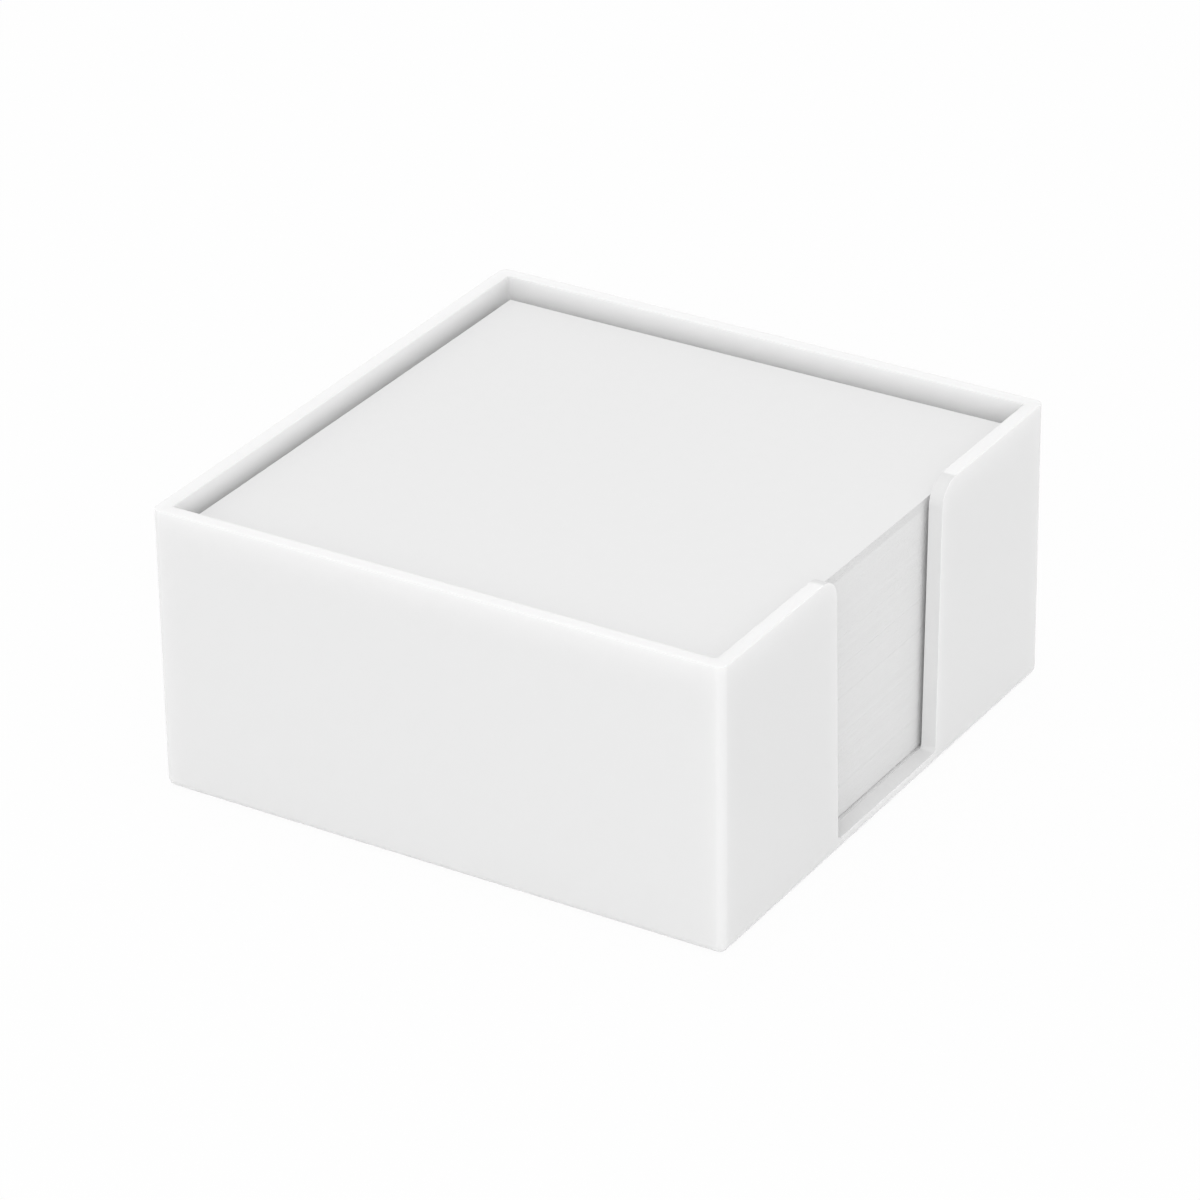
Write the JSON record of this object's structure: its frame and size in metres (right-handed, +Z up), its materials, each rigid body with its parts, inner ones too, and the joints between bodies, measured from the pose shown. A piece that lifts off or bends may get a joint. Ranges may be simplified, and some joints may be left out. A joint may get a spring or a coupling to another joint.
{
  "type": "note box",
  "caption": "Square open-topped desk tray with a finger slot in its front wall, holding a stack of loose square notes that lift out.",
  "frame": {"origin": "centre of the tray's foot, on the surface it stands on", "axes": "+Z up, the finger slot faces -Y, X runs along the slotted wall"},
  "size_m": [0.0972, 0.0972, 0.0469],
  "materials": {
    "opal_plastic": "satin gloss, slightly translucent white moulding",
    "note_paper": "plain white uncoated paper"
  },
  "bodies": {
    "tray": {"note_box": "opal_plastic"},
    "note_wad_1": {"note_wad_1": "note_paper"},
    "note_wad_2": {"note_wad_2": "note_paper"},
    "note_wad_3": {"note_wad_3": "note_paper"},
    "note_wad_4": {"note_wad_4": "note_paper"},
    "note_wad_5": {"note_wad_5": "note_paper"},
    "note_wad_6": {"note_wad_6": "note_paper"},
    "note_wad_7": {"note_wad_7": "note_paper"},
    "note_wad_8": {"note_wad_8": "note_paper"},
    "single_note_01": {"single_note_01": "note_paper"},
    "single_note_02": {"single_note_02": "note_paper"},
    "single_note_03": {"single_note_03": "note_paper"},
    "single_note_04": {"single_note_04": "note_paper"},
    "single_note_05": {"single_note_05": "note_paper"},
    "single_note_06": {"single_note_06": "note_paper"},
    "single_note_07": {"single_note_07": "note_paper"},
    "single_note_08": {"single_note_08": "note_paper"},
    "single_note_09": {"single_note_09": "note_paper"},
    "single_note_10": {"single_note_10": "note_paper"},
    "single_note_11": {"single_note_11": "note_paper"},
    "single_note_12": {"single_note_12": "note_paper"}
  },
  "joints": [
    {"name": "lift_note_wad_1", "type": "slide", "parent": "tray", "child": "note_wad_1", "axis": [0, 0, 1], "range_m": [0, 0.0546]},
    {"name": "lift_note_wad_2", "type": "slide", "parent": "note_wad_1", "child": "note_wad_2", "axis": [0, 0, 1], "range_m": [0, 0.0497]},
    {"name": "lift_note_wad_3", "type": "slide", "parent": "note_wad_2", "child": "note_wad_3", "axis": [0, 0, 1], "range_m": [0, 0.0447]},
    {"name": "lift_note_wad_4", "type": "slide", "parent": "note_wad_3", "child": "note_wad_4", "axis": [0, 0, 1], "range_m": [0, 0.0397]},
    {"name": "lift_note_wad_5", "type": "slide", "parent": "note_wad_4", "child": "note_wad_5", "axis": [0, 0, 1], "range_m": [0, 0.0347]},
    {"name": "lift_note_wad_6", "type": "slide", "parent": "note_wad_5", "child": "note_wad_6", "axis": [0, 0, 1], "range_m": [0, 0.0298]},
    {"name": "lift_note_wad_7", "type": "slide", "parent": "note_wad_6", "child": "note_wad_7", "axis": [0, 0, 1], "range_m": [0, 0.0248]},
    {"name": "lift_note_wad_8", "type": "slide", "parent": "note_wad_7", "child": "note_wad_8", "axis": [0, 0, 1], "range_m": [0, 0.0198]},
    {"name": "lift_single_note_01", "type": "slide", "parent": "note_wad_8", "child": "single_note_01", "axis": [0, 0, 1], "range_m": [0, 0.0149]},
    {"name": "lift_single_note_02", "type": "slide", "parent": "single_note_01", "child": "single_note_02", "axis": [0, 0, 1], "range_m": [0, 0.0147]},
    {"name": "lift_single_note_03", "type": "slide", "parent": "single_note_02", "child": "single_note_03", "axis": [0, 0, 1], "range_m": [0, 0.0146]},
    {"name": "lift_single_note_04", "type": "slide", "parent": "single_note_03", "child": "single_note_04", "axis": [0, 0, 1], "range_m": [0, 0.0145]},
    {"name": "lift_single_note_05", "type": "slide", "parent": "single_note_04", "child": "single_note_05", "axis": [0, 0, 1], "range_m": [0, 0.0144]},
    {"name": "lift_single_note_06", "type": "slide", "parent": "single_note_05", "child": "single_note_06", "axis": [0, 0, 1], "range_m": [0, 0.0143]},
    {"name": "lift_single_note_07", "type": "slide", "parent": "single_note_06", "child": "single_note_07", "axis": [0, 0, 1], "range_m": [0, 0.0141]},
    {"name": "lift_single_note_08", "type": "slide", "parent": "single_note_07", "child": "single_note_08", "axis": [0, 0, 1], "range_m": [0, 0.014]},
    {"name": "lift_single_note_09", "type": "slide", "parent": "single_note_08", "child": "single_note_09", "axis": [0, 0, 1], "range_m": [0, 0.0139]},
    {"name": "lift_single_note_10", "type": "slide", "parent": "single_note_09", "child": "single_note_10", "axis": [0, 0, 1], "range_m": [0, 0.0138]},
    {"name": "lift_single_note_11", "type": "slide", "parent": "single_note_10", "child": "single_note_11", "axis": [0, 0, 1], "range_m": [0, 0.0137]},
    {"name": "lift_single_note_12", "type": "slide", "parent": "single_note_11", "child": "single_note_12", "axis": [0, 0, 1], "range_m": [0, 0.0135]}
  ]
}
